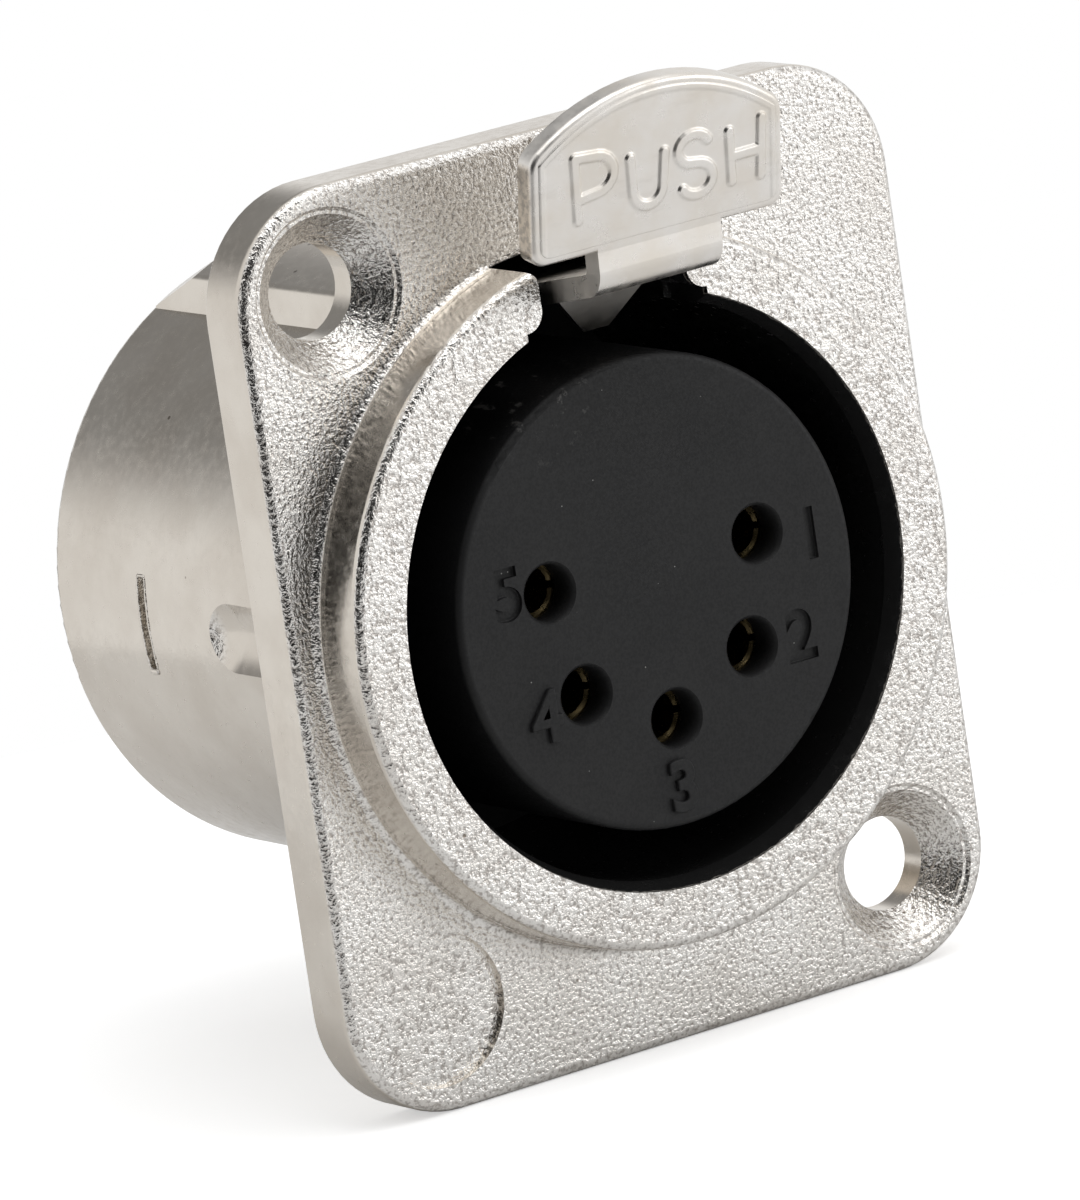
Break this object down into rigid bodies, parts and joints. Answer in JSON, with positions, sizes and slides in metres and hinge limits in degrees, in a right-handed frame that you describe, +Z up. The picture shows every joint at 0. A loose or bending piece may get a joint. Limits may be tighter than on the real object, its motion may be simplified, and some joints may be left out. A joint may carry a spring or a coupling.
{
  "type": "xlr panel socket",
  "caption": "Female five-way XLR socket for a panel: rectangular flange, round barrel, dark insert with turned contacts, and a sprung push latch above the mouth.",
  "frame": {"origin": "on the socket's axis, in the plane of the flange's rear face, midway between the two panel screws", "axes": "+Z up towards the push tab, -Y out of the socket's mouth towards the plug, +Y back into the panel, +X to the right seen from the front"},
  "size_m": [0.026, 0.0287, 0.0331],
  "materials": {
    "plated_casting": "bright nickel plate over a sand-textured zinc casting",
    "plated_sheet": "satin nickel plate",
    "insert_plastic": "satin moulded",
    "contact_metal": "turned and plated",
    "spring_metal": "tinned bronze",
    "steel": "drawn wire"
  },
  "bodies": {
    "body": {"housing": "plated_casting", "insert_core": "insert_plastic", "insert_ring": "insert_plastic", "contact_1": "contact_metal", "contact_2": "contact_metal", "contact_3": "contact_metal", "contact_4": "contact_metal", "contact_5": "contact_metal", "ground_contact": "spring_metal", "latch_pin": "steel", "latch_spring": "steel"},
    "latch": {"latch_lever": "plated_sheet"}
  },
  "joints": [
    {"name": "latch_pivot", "type": "hinge", "parent": "body", "child": "latch", "pos_m": [0, 0.0105, 0.0095], "axis": [-1, 0, 0], "range_deg": [0, 3.2], "stiffness_Nm_per_rad": 0.05, "springref_deg": -17.19, "deforming": ["latch_spring"]}
  ]
}
